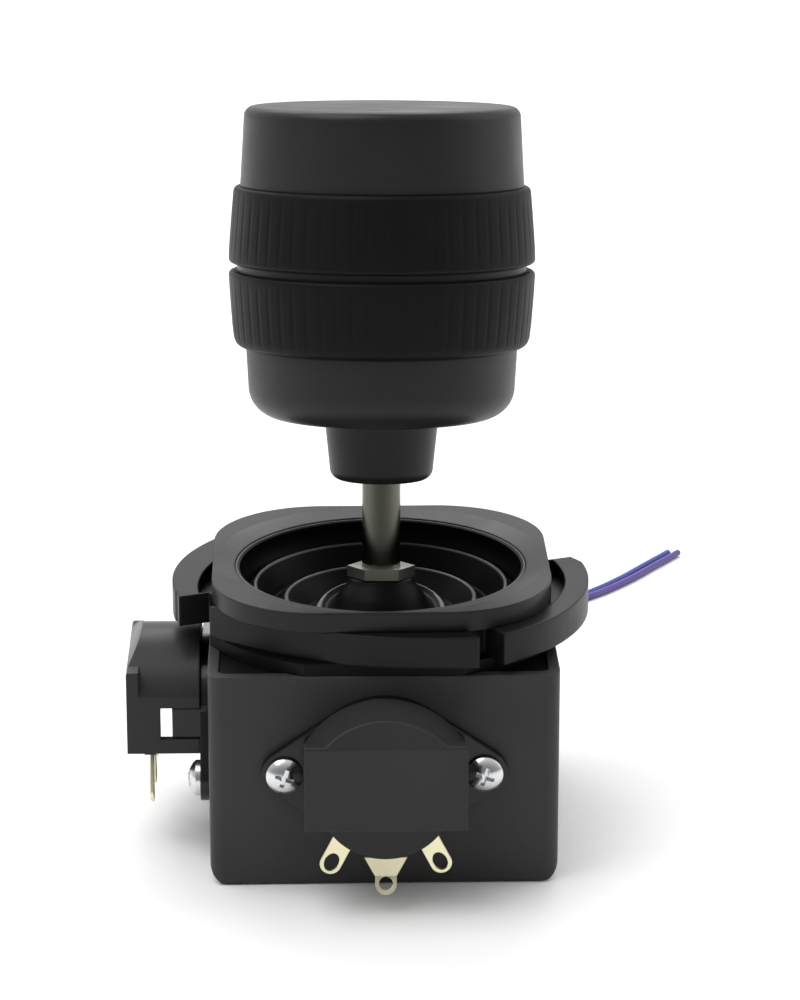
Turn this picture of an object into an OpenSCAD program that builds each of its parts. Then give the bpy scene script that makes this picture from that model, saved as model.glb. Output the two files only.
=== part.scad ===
// Two-axis industrial joystick with a twisting knob: a square tub with two side potentiometers,
// a notched clamp ring, a ribbed rubber boot and a leaned stick. Millimetres, +Z up.
// The origin is the centre of the housing's flat underside; -Y is the front, -X the left side.

/* [Housing] */
// Width and depth of the housing
body_w = 44; // [43:0.5:48]
// Height of the housing wall
body_h = 28; // [28:0.5:32]
// Thickness of the housing wall
wall_t = 1.4; // [1.2:0.1:2]
// Thickness of the housing floor
floor_t = 2; // [1.5:0.1:3]
// Radius of the upright edges of the housing
edge_r = 1.8; // [1:0.1:3]
// Radius of the left and right edges of the underside
foot_r = 2.6; // [1:0.1:3]
// Radius of the front and rear edges of the underside
sill_r = 0.6; // [0.4:0.1:1.5]
// Height of the tilt axes above the underside
pivot_h = 15.5; // [15.5:0.1:16]

/* [Top frame and clamp ring] */
// Height of the neck between the housing and the clamp ring
neck_h = 1.6; // [1.2:0.1:3]
// Radius of the neck
neck_r = 24; // [23:0.1:25]
// Radius of the opening under the boot
frame_hole_r = 17.8; // [17.7:0.1:18]
// Depth that the top frame reaches into the tub
frame_depth = 4; // [3:0.1:5]
// Thickness of the top frame's plate
frame_plate_t = 1.6; // [1.2:0.1:2]
// Drop of that plate below the top edge of the housing wall
plate_drop = 0.3; // [0.1:0.1:1]
// Thickness of the clamp ring
ring_t = 4; // [2.5:0.1:4.5]
// Largest radius of the clamp ring
ring_r = 26.9; // [26:0.1:28]
// Radius of the flat arcs at the front and back of the clamp ring
strip_r = 38.7; // [35:0.1:60]
// Distance from the ring's centre to the middle of a flat arc
strip_reach = 22.4; // [22:0.1:24]
// Width of the wide notches, behind the right lobe and before the left one
wide_notch_w = 5; // [4:0.1:6]
// Width of the narrow notches, before the right lobe and behind the left one
notch_w = 3.2; // [2:0.1:5]
// Width of a lobe's outer wall, outside its crescent slot
lobe_wall = 2.7; // [2:0.1:3.5]

/* [Boot] */
// Width of the bezel that holds the boot
bezel_w = 43.2; // [42:0.1:44]
// Radius of the bezel's corners
bezel_corner_r = 14; // [10:0.5:18]
// Height of the bezel above the clamp ring
bezel_h = 2.6; // [2:0.1:4]
// Radius of the bezel's opening
bezel_hole_r = 18.8; // [18:0.1:19]
// Drop of the bezel's sloping top towards the opening
bezel_drop = 0.8; // [0.2:0.1:1.2]
// Thickness of the boot's rubber
boot_t = 0.8; // [0.6:0.1:1]
// Depth of the boot's folds
fold_depth = 1.4; // [1:0.1:1.6]
// Radius of the boot's collar round the stick
collar_r = 4; // [3.6:0.1:4.5]

/* [Stick] */
// Lean of the stick to the back, where it rests
stick_lean = 9; // [0:1:15]
// Lean of the stick to the right, where it rests
stick_side = 0.45; // [-1:0.05:1]
// Radius of the hollow shaft
shaft_r = 2.5; // [2:0.1:2.6]
// Radius of the wire passage in the shaft
shaft_bore_r = 1.2; // [0.8:0.1:1.4]
// Radius of the hub at the foot of the shaft
hub_r = 2.9; // [2.6:0.1:3]
// Distance along the stick from the tilt axes to the boot nut
boot_nut_at = 17.4; // [16.5:0.1:20]
// Width across flats of the boot nut
boot_nut_w = 7.6; // [6:0.1:9]
// Height of the boot nut
boot_nut_h = 1.4; // [1:0.1:2.5]
// Distance along the stick from the tilt axes to the underside of the knob's neck
knob_at = 30.2; // [29:0.1:36]
// Radius of the cross pin
pin_r = 1; // [0.8:0.05:1.1]

/* [Knob] */
// Height of the knob's neck
neck_len = 8.2; // [6:0.1:10]
// Radius at the foot of the knob's neck
neck_foot_r = 6.7; // [6:0.1:7.2]
// Radius at the top of the knob's neck
neck_top_r = 7.4; // [7:0.1:9]
// Height of the smooth cup under the lower grip
cup_h = 9.2; // [8:0.1:12]
// Radius of the smooth cup
cup_r = 17.5; // [17.4:0.1:18]
// Height of a grip band
grip_h = 9.5; // [9:0.1:11]
// Largest radius of a grip band
grip_r = 19.7; // [19:0.1:21]
// Taper of a grip band in radius, from the groove outwards
grip_taper = 0.75; // [0.2:0.05:1]
// Number of flutes round a grip band
flutes = 60; // [40:1:72]
// Depth of a flute
flute_depth = 0.3; // [0.1:0.05:0.4]
// Width of the groove between the two grips
groove_w = 1.5; // [1:0.1:2]
// Depth of the groove between the two grips
groove_depth = 1.1; // [0.8:0.1:1.4]
// Height of the smooth top of the knob
cap_h = 10.2; // [8:0.1:13]
// Radius at the top of the knob
cap_top_r = 17.7; // [17:0.1:18.2]
// Radius at the foot of the knob's smooth top
cap_foot_r = 18.2; // [18:0.1:18.6]
// Radius of the rounded edge at the top of the knob
cap_edge_r = 1.3; // [0.8:0.1:2]
// Thickness of the knob's top
cap_t = 3; // [2:0.1:4]
// Radius of the core that the grips are stretched over
core_r = 17.2; // [17:0.1:17.4]
// Radius of the spigot that the upper knob turns on
spigot_r = 15; // [14.8:0.1:15.2]

/* [Potentiometers] */
// Width of a potentiometer's cover
cover_w = 20.1; // [19:0.1:22]
// Depth of a potentiometer's cover from the housing wall
cover_d = 10.7; // [10:0.1:12]
// Height of the square part of a cover
cover_h = 11; // [10:0.1:12]
// Height of the arched top above the square part
arch_h = 2.8; // [2:0.1:3.5]
// Radius of the arched top
arch_r = 11.4; // [11:0.1:14]
// Wall of a cover
cover_t = 1.2; // [0.9:0.1:1.3]
// Drop of the front cover's lower edge below the tilt axis
front_cover_drop = 3.8; // [3.3:0.1:4.2]
// Drop of the left cover's lower edge below the tilt axis
side_cover_drop = 2.3; // [2:0.1:3]
// Radius of the front potentiometer's round body
pot_r = 8.4; // [8:0.1:8.6]
// Radius of the left potentiometer's round body, which its cover hides
side_pot_r = 5.8; // [5.6:0.1:6]
// Radius of the round flange against the wall
flange_r = 10; // [9.5:0.1:10.5]
// Thickness of the flange
flange_t = 1.3; // [1:0.1:1.6]
// Gap between a cover and the screw heads beside it
screw_gap = 0.15; // [0.1:0.05:0.5]
// Turn of the left potentiometer's flange in its mounting
side_pot_trim = 24; // [22:1:28]
// Radius of a screw's shank
screw_r = 1.25; // [1:0.05:1.5]
// Radius of a screw's head
screw_head_r = 2.3; // [2.1:0.1:2.3]
// Distance between two solder lugs
lug_pitch = 5.2; // [4.8:0.1:5.4]
// Width of a solder lug
lug_w = 2.7; // [2:0.1:3]
// Length of a solder lug below the front potentiometer's body
lug_len = 5; // [4:0.1:5.5]
// Length of a solder lug below the left potentiometer's terminal block
side_lug_len = 7; // [6:0.1:8]
// Thickness of a solder lug
lug_t = 0.5; // [0.4:0.05:0.6]

/* [Tilt mechanism] */
// Radius of the axles
axle_r = 2; // [1.8:0.05:2.1]
// Radius of a bush in the housing wall
bush_r = 3; // [2.6:0.1:3.4]
// Thickness of a bush's inner flange
bush_flange_t = 1.2; // [0.8:0.1:1.5]
// Half length of the carriage along its axle
carriage_x = 7.5; // [7.3:0.1:8]
// Half width of the carriage along the cross pin
carriage_y = 5.4; // [5.2:0.1:5.6]
// Half height of the carriage
carriage_z = 2.4; // [2:0.1:2.5]
// Inner radius of the arched bail
bail_r = 8.8; // [8.7:0.1:9.2]
// Thickness of the bail's strap
bail_t = 1.6; // [1.2:0.1:1.8]
// Width of the bail's strap
bail_w = 8.4; // [8:0.1:9]
// Gap on each side of the stick in the bail's slot
bail_gap = 0.7; // [0.6:0.05:0.9]

/* [Leads] */
// Radius of a lead
lead_r = 0.5; // [0.4:0.05:0.6]

/* [Fits] */
// Gap between a shaft and the bore it turns in
run_fit = 0.05; // [0.03:0.01:0.08]
// Gap round a fixed piece in its seat
seat_gap = 0.05; // [0.02:0.01:0.1]
// Gap between a rubber piece and what it meets
soft_gap = 0.3; // [0.2:0.05:0.4]
// Gap between two moving faces that don't bear on each other
face_gap = 0.3; // [0.2:0.05:0.4]

/* [Hidden] */

$fn = 96;
eps = 0.01;
inner_w = body_w - 2 * wall_t;
ring_z = body_h + neck_h;
bezel_z = ring_z + ring_t;
bezel_top = bezel_z + bezel_h;

// Heights along the stick, from the tilt axes
cup_at = knob_at + neck_len;
lower_grip_at = cup_at + cup_h;
groove_at = lower_grip_at + grip_h;
upper_grip_at = groove_at + groove_w;
cap_at = upper_grip_at + grip_h;
knob_top = cap_at + cap_h;
cup_floor = cup_at + 3;
knob_nut_h = 2.4;
shaft_top = cup_floor + knob_nut_h + 0.4;
twist_pot_at = shaft_top + 0.4;
spigot_top = upper_grip_at + 7;
plate_at = groove_at - 4;
plate_t = 1.5;
groove_floor_r = grip_r - groove_depth;

// Half travel of each tilt about the upright position, in degrees
tilt_travel = 25;

// Hex nut of a given width across flats, height and bore, standing on z = 0
module hex_nut(width, height, bore) {
    difference() {
        cylinder(r = width / 2 / cos(30), h = height, $fn = 6);
        translate([0, 0, -eps]) cylinder(r = bore, h = height + 2 * eps);
    }
}

// Rectangle with rounded corners, centred on the origin
module rounded_rect(width, depth, radius) {
    square([width - 2 * radius, depth], center = true);
    square([width, depth - 2 * radius], center = true);
    for (x = [-1, 1], y = [-1, 1])
        translate([x * (width / 2 - radius), y * (depth / 2 - radius)]) circle(r = radius);
}

// Side view of the housing: square at the top, rounded at the foot
module housing_profile(width, height, radius) {
    translate([-width / 2, radius]) square([width, height - radius]);
    translate([-width / 2 + radius, 0]) square([width - 2 * radius, radius + eps]);
    for (x = [-1, 1]) translate([x * (width / 2 - radius), radius]) circle(r = radius);
}

// Puts its children in the stick's frame: z runs up the stick from the tilt axes
module in_stick() {
    translate([0, 0, pivot_h]) rotate([-stick_lean, 0, 0]) rotate([0, stick_side, 0]) children();
}

// Puts its children outside the front wall, at the height of the tilt axes
module at_front() {
    translate([0, -body_w / 2, pivot_h]) children();
}

// Puts its children outside the left wall, at the height of the tilt axes
module at_side() {
    rotate([0, 0, -90]) translate([0, -body_w / 2, pivot_h]) children();
}

// A cylinder from d1 to d2 outwards along -Y
module outward_cylinder(radius, d1, d2) {
    translate([0, -d1, 0]) rotate([90, 0, 0]) cylinder(r = radius, h = d2 - d1);
}

// A coil of round wire: radius, height, turns and wire radius, as a closed sweep along a helix
module coil(radius, height, turns, wire, sides = 6, steps = 14) {
    count = turns * steps;
    points = [for (i = [0:count]) let (a = 360 * i / steps, z = height * i / count)
        for (j = [0:sides - 1]) let (b = 360 * j / sides, r = radius + wire * cos(b))
            [r * cos(a), r * sin(a), z + wire * sin(b)]];
    walls = [for (i = [0:count - 1], j = [0:sides - 1]) let (k = (j + 1) % sides)
        [i * sides + j, (i + 1) * sides + j, (i + 1) * sides + k, i * sides + k]];
    ends = [[for (j = [0:sides - 1]) j], [for (j = [sides - 1:-1:0]) count * sides + j]];
    polyhedron(points, concat(walls, ends), convexity = 10);
}

// ---- housing, frame and ring ----

// Distance from a potentiometer's centre to each screw, and height of a screw's head
screw_reach = cover_w / 2 + screw_head_r + screw_gap;
screw_head_h = 1.7;

// The two screw holes through the wall that a potentiometer is screwed to
module screw_holes() {
    for (x = [-1, 1]) translate([x * screw_reach, 0, 0])
        outward_cylinder(screw_r + run_fit, -wall_t - 1, 1);
}

// The grommet in the rear wall: x and z of its centre, its radius, and the spacing of its leads
lead_exit = [12, 7];
grommet_r = 2.4;
lead_spacing = 1.6;

module housing() {
    color("#3b3b39") difference() {
        intersection() {
            linear_extrude(body_h) rounded_rect(body_w, body_w, edge_r);
            rotate([90, 0, 0]) linear_extrude(body_w + 2, center = true)
                housing_profile(body_w, body_h, foot_r);
            rotate([90, 0, 90]) linear_extrude(body_w + 2, center = true)
                housing_profile(body_w, body_h, sill_r);
        }
        translate([0, 0, floor_t]) linear_extrude(body_h) rounded_rect(inner_w, inner_w, 1);
        translate([0, 0, pivot_h]) for (a = [0, 90]) rotate([90, 0, a])
            cylinder(r = bush_r, h = body_w + 2, center = true);
        at_front() screw_holes();
        at_side() rotate([0, side_pot_trim, 0]) screw_holes();
        translate([lead_exit[0], body_w / 2 + 1, lead_exit[1]]) rotate([90, 0, 0])
            cylinder(r = grommet_r, h = wall_t + 2);
    }
}

module top_frame() {
    color("#262625") difference() {
        union() {
            translate([0, 0, body_h - plate_drop - frame_plate_t]) linear_extrude(frame_plate_t)
                rounded_rect(inner_w - 2 * seat_gap, inner_w - 2 * seat_gap, 1);
            intersection() {
                translate([0, 0, body_h - frame_depth]) cylinder(r = neck_r, h = frame_depth + neck_h);
                union() {
                    linear_extrude(body_h) square(inner_w - 2 * seat_gap, center = true);
                    translate([0, 0, body_h]) linear_extrude(neck_h + 1)
                        square(body_w - 0.3, center = true);
                }
            }
        }
        cylinder(r = frame_hole_r, h = 100);
    }
}

// Direction of the right lobe's middle and of the front arc's middle
lobe_dir = -19.3;
strip_dir = -114.5;
// Half angle of a lobe, and of the crescent slot in it
lobe_span = 40;
slot_span = 34;
// Angle of a notch's middle from its lobe's middle
notch_at = 40.7;
// The circle that each lobe is cut from: x and y of its centre, and its radius
lobe_circles = [[0.6, -1, 25.9], [1.8, -2.9, 28]];

// The circle of the right lobe (0) or the left lobe (1), set in by a distance
module lobe_circle(side, inset = 0) {
    translate([lobe_circles[side][0], lobe_circles[side][1]]) circle(r = lobe_circles[side][2] - inset);
}

// A wedge from the centre outwards, to an angle either side of the +X direction
module wedge(half) {
    reach = 2 * ring_r;
    polygon([[0, 0], [reach * cos(half), -reach * sin(half)], [reach * cos(half), reach * sin(half)]]);
}

module ring_outline() {
    intersection() {
        rotate(strip_dir) translate([strip_reach - strip_r, 0]) circle(r = strip_r);
        rotate(strip_dir) translate([strip_r - strip_reach, 0]) circle(r = strip_r);
        circle(r = ring_r);
    }
    for (side = [0, 1]) intersection() {
        lobe_circle(side);
        rotate(lobe_dir + side * 180) wedge(lobe_span);
    }
}

module bezel_outline() {
    rounded_rect(bezel_w, bezel_w, bezel_corner_r);
}

// A notch in the clamp ring's rim, in a direction
module rim_notch(direction, width) {
    rotate(direction) translate([bezel_w / 2 + 1, -width / 2, -1]) cube([ring_r, width, ring_t + 2]);
}

module mounting_ring() {
    color("#343433") translate([0, 0, ring_z]) difference() {
        linear_extrude(ring_t) ring_outline();
        translate([0, 0, -1]) cylinder(r = bezel_hole_r, h = ring_t + 2);
        for (half = [0, 180]) {
            rim_notch(lobe_dir + notch_at + half, wide_notch_w);
            rim_notch(lobe_dir - notch_at + half, notch_w);
        }
        translate([0, 0, ring_t / 2]) linear_extrude(ring_t) difference() {
            for (side = [0, 1]) intersection() {
                lobe_circle(side, lobe_wall);
                rotate(lobe_dir + side * 180) wedge(slot_span);
            }
            bezel_outline();
        }
    }
}

module boot_bezel() {
    slope_r = bezel_w / 2;
    color("#2b2b2a") difference() {
        translate([0, 0, bezel_z]) linear_extrude(bezel_h) bezel_outline();
        translate([0, 0, bezel_z - 1]) cylinder(r = bezel_hole_r, h = bezel_h + 2);
        translate([0, 0, bezel_top - bezel_drop])
            cylinder(r1 = bezel_hole_r, r2 = slope_r, h = bezel_drop);
        translate([0, 0, bezel_top - eps]) cylinder(r = slope_r, h = 1);
    }
}

// The boot's ridges and valleys from the edge inwards: radius, height, shift to the right and to
// the back, and tilt
ridge_1 = [16.2, bezel_top - 3.5, 0, 0.3, 0];
ridge_2 = [12.2, bezel_top - 5.5, 0, 0.8, 0];
ridge_3 = [8, bezel_top - 6.4, 0.1, 1.5, stick_lean];
valley_1 = [ridge_1[0] + 1.2, ridge_1[1] - fold_depth, 0, 0.1, 0];
valley_2 = [(ridge_1[0] + ridge_2[0]) / 2, ridge_2[1] - fold_depth, 0, 0.5, 0];
valley_3 = [(ridge_2[0] + ridge_3[0]) / 2, ridge_3[1] - 0.7 * fold_depth, 0, 1.1, stick_lean / 2];
valley_4 = [ridge_3[0] - 2, ridge_3[1] - 0.8 * fold_depth, 0.1, 2, stick_lean];
boot_edge_r = bezel_hole_r - soft_gap;
boot_edge_z = bezel_top - bezel_drop - soft_gap;
collar_h = 1.2;
collar_bore = shaft_r + soft_gap;
collar_bevel = 0.3;

// A ring of the boot's collar: its radius, and its distance below the boot nut
function collar_ring(r, below) = let (d = boot_nut_at - soft_gap - below)
    [r, pivot_h + d * cos(stick_lean), d * sin(stick_side), d * sin(stick_lean), stick_lean];

// The boot's rubber in section: rings along its top, then back along its underside
boot_rings = [
    [boot_edge_r - boot_t, boot_edge_z, 0, 0, 0],
    valley_1, ridge_1, valley_2, ridge_2, valley_3, ridge_3, valley_4,
    collar_ring(collar_r, collar_h), collar_ring(collar_r - collar_bevel, 0),
    collar_ring(collar_bore, 0), collar_ring(collar_bore, collar_h + boot_t),
    for (ring = [valley_4, ridge_3, valley_3, ridge_2, valley_2, ridge_1]) ring - [0, boot_t, 0, 0, 0],
    valley_1 + [boot_t / 2, -boot_t, 0, 0, 0], [boot_edge_r, boot_edge_z, 0, 0, 0]
];

// The point at angle a of a boot ring
function ring_point(ring, a) = let (s = ring[0] * sin(a))
    [ring[2] + ring[0] * cos(a), ring[3] + s * cos(ring[4]), ring[1] - s * sin(ring[4])];

// Two triangles for each cell of a grid of points, closed round both ways or only along a ring
function grid_faces(rings, sides, joined) = [for (i = [0:rings - (joined ? 1 : 2)], j = [0:sides - 1])
    let (k = (j + 1) % sides, a = i * sides, b = ((i + 1) % rings) * sides)
        each [[a + j, a + k, b + k], [a + j, b + k, b + j]]];

module boot() {
    sides = 48;
    points = [for (ring = boot_rings, j = [0:sides - 1]) ring_point(ring, 360 * j / sides)];
    color("#1d1d1d") polyhedron(points, grid_faces(len(boot_rings), sides, true), convexity = 10);
}

// ---- bushes, washer and spring ----

// A flanged bush in the wall, its flange inside, for an axle along -Y
module bush() {
    color("#7d7a70") difference() {
        union() {
            outward_cylinder(bush_r - seat_gap / 2, -wall_t, 0);
            outward_cylinder(bush_r + 1.2, -wall_t - bush_flange_t, -wall_t);
        }
        outward_cylinder(axle_r + run_fit, -wall_t - bush_flange_t - 1, 1);
    }
}

module bush_front() at_front() bush();
module bush_rear() rotate([0, 0, 180]) at_front() bush();
module bush_left() at_side() bush();
module bush_right() rotate([0, 0, 180]) at_side() bush();

washer_t = 1;
// Distance from the middle to the outer face of each collar on the carriage's axle
axle_collar_x = body_w / 2 - wall_t - bush_flange_t - washer_t - 2 * seat_gap;

module friction_washer() {
    color("#8f6b3f") translate([axle_collar_x + seat_gap, 0, pivot_h]) rotate([0, 90, 0])
        difference() {
            cylinder(r = 5, h = washer_t);
            translate([0, 0, -eps]) cylinder(r = axle_r + run_fit, h = washer_t + 2 * eps);
        }
}

spring_wire = 0.4;
// Distance from the middle to the outer end of each boss on the bail
bail_boss_y = 12.4;

module tilt_spring() {
    start = bail_boss_y + spring_wire + face_gap;
    room = body_w / 2 - wall_t - bush_flange_t - spring_wire - seat_gap - start;
    color("#8c8f92") translate([0, start, pivot_h]) rotate([-90, 0, 0])
        coil(axle_r + 1.4, room, 5, spring_wire);
}

// ---- potentiometers on the walls ----

// Flat outline of the flange: a disc with two screw ears
module flange_outline() {
    hull() {
        circle(r = flange_r);
        for (x = [-1, 1]) translate([x * screw_reach, 0]) circle(r = screw_head_r + 0.6);
    }
}

// Depth of a potentiometer's body from the wall, and of its solder lugs
pot_d = 8.6;
lug_d = 7.7;
// Window in a cover's cheek: its depth from the wall, its height, and how far up it starts
window_d = 6.4;
window_h = 4.3;
window_up = 1.9;
// Width of the slot that stays open in the window, outside the snap tongue
slot_d = 1.5;
// How much deeper than the window the slot runs inside the round body
slot_extra = 0.7;
// Thickness of a cover's square front plate, and the slope of its face above that, in degrees
front_plate_t = 1.6;
face_slope = 30;
// How far below the top of the front plate the slope starts
slope_start = 0.3;
// Gap between the snap tongue and the window's edges
tongue_gap = 0.15;
// The wiper's chamber: radius, and depth of its near and far ends
chamber_r = 4.9;
chamber_from = 2.3;
chamber_to = 4.5;

// Length of a solder lug inside the case
lug_seat = 1.8;
// Splay of the outer lugs, in degrees
lug_splay = 27;

// The height from the axis at which the outer and the middle lugs leave the case
front_roots = let (x = lug_pitch + lug_w / 4) [-sqrt(pot_r * pot_r - x * x), -pot_r];
side_roots = [-3.3, -3.3];
// Half width and top of the terminal block behind a cover's front
block_x = lug_pitch + lug_w;
block_top = 6;

module pot_case(cover_drop, trim, radius, roots) {
    window_z = window_up - cover_drop;
    cheek = cover_w / 2;
    block_d = window_d + slot_extra;
    color("#232323") difference() {
        union() {
            rotate([90, trim, 0]) linear_extrude(flange_t) flange_outline();
            outward_cylinder(radius, 0, pot_d);
            if (radius < block_x)
                translate([-block_x, -pot_d, roots[0]])
                    cube([2 * block_x, pot_d - block_d, block_top - roots[0]]);
            translate([-cheek + 2 * tongue_gap, -window_d + slot_d, window_z + tongue_gap])
                cube([cover_w - 4 * tongue_gap, window_d - slot_d - 2 * tongue_gap,
                    window_h - 2 * tongue_gap]);
        }
        outward_cylinder(axle_r + run_fit, -1, chamber_from + eps);
        outward_cylinder(chamber_r, chamber_from, chamber_to);
        translate([-cheek - 1, -block_d, -pot_r - 1])
            cube([cover_w + 2, slot_d + slot_extra, window_z + window_h + pot_r + 1]);
        for (i = [-1:1])
            translate([i * lug_pitch - lug_w / 2 - 4 * seat_gap, -lug_d - lug_t / 2 - seat_gap, -pot_r - 1])
                cube([lug_w + 8 * seat_gap, lug_t + 2 * seat_gap,
                    roots[i == 0 ? 1 : 0] + lug_seat + seat_gap + pot_r + 1]);
        rotate([0, trim, 0]) for (x = [-1, 1]) translate([x * screw_reach, 0, 0])
            outward_cylinder(screw_r + run_fit, -1, flange_t + 1);
    }
}

// Front view of a cover behind its front plate: straight sides under an arched top
module cover_outline(inset, low) {
    centre = low + cover_h + arch_h - arch_r;
    translate([-cover_w / 2 + inset, low]) square([cover_w - 2 * inset, centre - low]);
    intersection() {
        translate([0, centre]) circle(r = arch_r - inset);
        translate([-cover_w / 2 + inset, low]) square([cover_w - 2 * inset, 2 * cover_h]);
    }
}

module pot_cover(cover_drop, trim) {
    low = -cover_drop;
    back = flange_t + seat_gap;
    top = low + cover_h;
    color("#30302f") difference() {
        union() {
            translate([0, -back, 0]) rotate([90, 0, 0]) linear_extrude(cover_d - back)
                cover_outline(0, low);
            translate([-cover_w / 2, -cover_d, low]) cube([cover_w, front_plate_t, cover_h]);
        }
        rotate([90, 0, 0]) linear_extrude(pot_d + 2 * tongue_gap) cover_outline(cover_t, low);
        translate([-cover_w / 2 + cover_t, -cover_d + cover_t, low - 1])
            cube([cover_w - 2 * cover_t, cover_d, 3]);
        for (x = [-1, 1]) translate([x * cover_w / 2, 0, 0])
            translate([-2, -window_d, low + window_up]) cube([4, window_d, window_h]);
        translate([0, -cover_d, top - slope_start]) rotate([-face_slope, 0, 0])
            translate([-cover_w, -5, -1]) cube([2 * cover_w, 5, 10]);
        rotate([0, trim, 0]) for (x = [-1, 1]) translate([x * screw_reach, 0, 0])
            outward_cylinder(screw_head_r + seat_gap, 0, flange_t + screw_head_h + face_gap);
    }
}

// A flat solder lug i, from -1 to 1, that leaves the case at a height and hangs down splayed, with
// a rounded, pierced end
module flat_lug(i, root, length) {
    end = lug_w / 2 - length;
    color("#b9a06a") translate([i * lug_pitch, -lug_d + lug_t / 2, root]) rotate([90, 0, 0])
        linear_extrude(lug_t) difference() {
            union() {
                translate([-lug_w / 2, -0.6]) square([lug_w, lug_seat + 0.6]);
                rotate(i * lug_splay) translate([-lug_w / 2, end]) square([lug_w, -end]);
                rotate(i * lug_splay) translate([0, end]) circle(r = lug_w / 2);
            }
            rotate(i * lug_splay) for (z = [0, 0.7]) translate([0, end + z]) circle(r = lug_w / 5);
        }
}

// The middle lug: a wide root that narrows, then bends forward to a pierced end
module middle_lug() {
    bend = 35;
    drop = 2.6;
    color("#8f7f5a") translate([0, -lug_d + lug_t / 2, -pot_r]) {
        rotate([90, 0, 0]) linear_extrude(lug_t) {
            translate([-lug_w / 2, -0.6]) square([lug_w, lug_seat + 0.6]);
            polygon([[-lug_w, 0], [lug_w, 0], [lug_w / 2, -drop], [-lug_w / 2, -drop]]);
        }
        translate([0, 0, -drop]) rotate([-bend, 0, 0]) rotate([90, 0, 0]) linear_extrude(lug_t)
            difference() {
                union() {
                    translate([-lug_w / 2, -lug_len + drop + lug_w / 2])
                        square([lug_w, lug_len - drop - lug_w / 2 + 0.1]);
                    translate([0, -lug_len + drop + lug_w / 2]) circle(r = lug_w / 2);
                }
                translate([0, -lug_len + drop + lug_w / 2]) circle(r = lug_w / 5);
            }
    }
}

// A pan-head screw with a cross recess, its head outside, through the flange and the wall
module pan_screw() {
    color("#c9cccd") difference() {
        translate([0, -flange_t, 0]) rotate([90, 0, 0]) {
            intersection() {
                translate([0, 0, screw_head_h - 3]) sphere(r = 3);
                cylinder(r = screw_head_r, h = screw_head_h);
            }
            translate([0, 0, -flange_t - wall_t - 0.8]) cylinder(r = screw_r, h = flange_t + wall_t + 0.9);
        }
        for (a = [0, 90]) translate([0, -flange_t - screw_head_h, 0]) rotate([0, a + 20, 0])
            cube([2.4, 1.6, 0.55], center = true);
    }
}

module front_pot_case() at_front() pot_case(front_cover_drop, 0, pot_r, front_roots);
module front_pot_cover() at_front() pot_cover(front_cover_drop, 0);
module front_lug_1() at_front() flat_lug(-1, front_roots[0], lug_len);
module front_lug_2() at_front() middle_lug();
module front_lug_3() at_front() flat_lug(1, front_roots[0], lug_len);
module front_screw_1() at_front() translate([-screw_reach, 0, 0]) pan_screw();
module front_screw_2() at_front() translate([screw_reach, 0, 0]) pan_screw();

module side_pot_case() at_side() pot_case(side_cover_drop, side_pot_trim, side_pot_r, side_roots);
module side_pot_cover() at_side() pot_cover(side_cover_drop, side_pot_trim);
module side_lug_1() at_side() flat_lug(-1, side_roots[0], side_lug_len);
module side_lug_2() at_side() flat_lug(0, side_roots[1], side_lug_len);
module side_lug_3() at_side() flat_lug(1, side_roots[0], side_lug_len);
module side_screw_1() at_side() rotate([0, side_pot_trim, 0]) translate([-screw_reach, 0, 0]) pan_screw();
module side_screw_2() at_side() rotate([0, side_pot_trim, 0]) translate([screw_reach, 0, 0]) pan_screw();

// ---- leads ----

// Route of the blue lead from the grommet to its bare end; the violet one lies beside it
lead_route = [
    [12, 20, 7], [12, 25, 6.5], [12, 31, 3.5], [12.5, 38, 1.1], [13.5, 46, 0.6], [15, 56, 0.6],
    [18, 66, 0.6], [22, 74, 0.6], [27, 80, 0.6], [34.5, 86.5, 0.6], [40, 93, 0.6],
    [44.5, 99.5, 0.6], [49, 106, 0.6]
];

// Point of a smooth curve through four route points, at t from 0 to 1 between the middle two
function curve_point(a, b, c, d, t) =
    0.5 * (2 * b + (c - a) * t + (2 * a - 5 * b + 4 * c - d) * t * t
        + (3 * b - a - 3 * c + d) * t * t * t);

function route_points(route, per) = let (last = len(route) - 1) concat(
    [for (i = [0:last - 1], k = [0:per - 1])
        curve_point(route[max(i - 1, 0)], route[i], route[i + 1], route[min(i + 2, last)], k / per)],
    [route[last]]);

module lead(shift) {
    sides = 8;
    route = [for (p = lead_route) p + [shift, 0, 0]];
    path = route_points(route, 3);
    last = len(path) - 1;
    points = [for (i = [0:last])
        let (d = path[min(i + 1, last)] - path[max(i - 1, 0)], along = d / norm(d),
            s = cross(along, [0, 0, 1]), side = s / norm(s), up = cross(side, along))
            for (j = [0:sides - 1])
                path[i] + lead_r * (cos(360 * j / sides) * side + sin(360 * j / sides) * up)];
    walls = [for (i = [0:last - 1], j = [0:sides - 1]) let (k = (j + 1) % sides)
        [i * sides + j, i * sides + k, (i + 1) * sides + k, (i + 1) * sides + j]];
    ends = [[for (j = [sides - 1:-1:0]) j], [for (j = [0:sides - 1]) last * sides + j]];
    polyhedron(points, concat(walls, ends), convexity = 10);
}

module lead_blue() color("#3f6fc4") lead(-lead_spacing / 2);
module lead_violet() color("#7a5cc0") lead(lead_spacing / 2);

module lead_grommet() {
    lip = 0.9;
    color("#1b1b1b") translate([lead_exit[0], body_w / 2 - wall_t, lead_exit[1]]) rotate([-90, 0, 0])
        difference() {
            union() {
                cylinder(r = grommet_r - seat_gap, h = wall_t);
                translate([0, 0, wall_t]) cylinder(r = grommet_r + 0.8, h = lip);
                translate([0, 0, -lip]) cylinder(r = grommet_r + 0.8, h = lip);
            }
            for (x = [-1, 1]) translate([x * lead_spacing / 2, 0, -2])
                cylinder(r = lead_r + 0.15, h = wall_t + 4);
        }
}

// ---- carriage: tilts fore and aft on the left and right bushes ----

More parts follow.
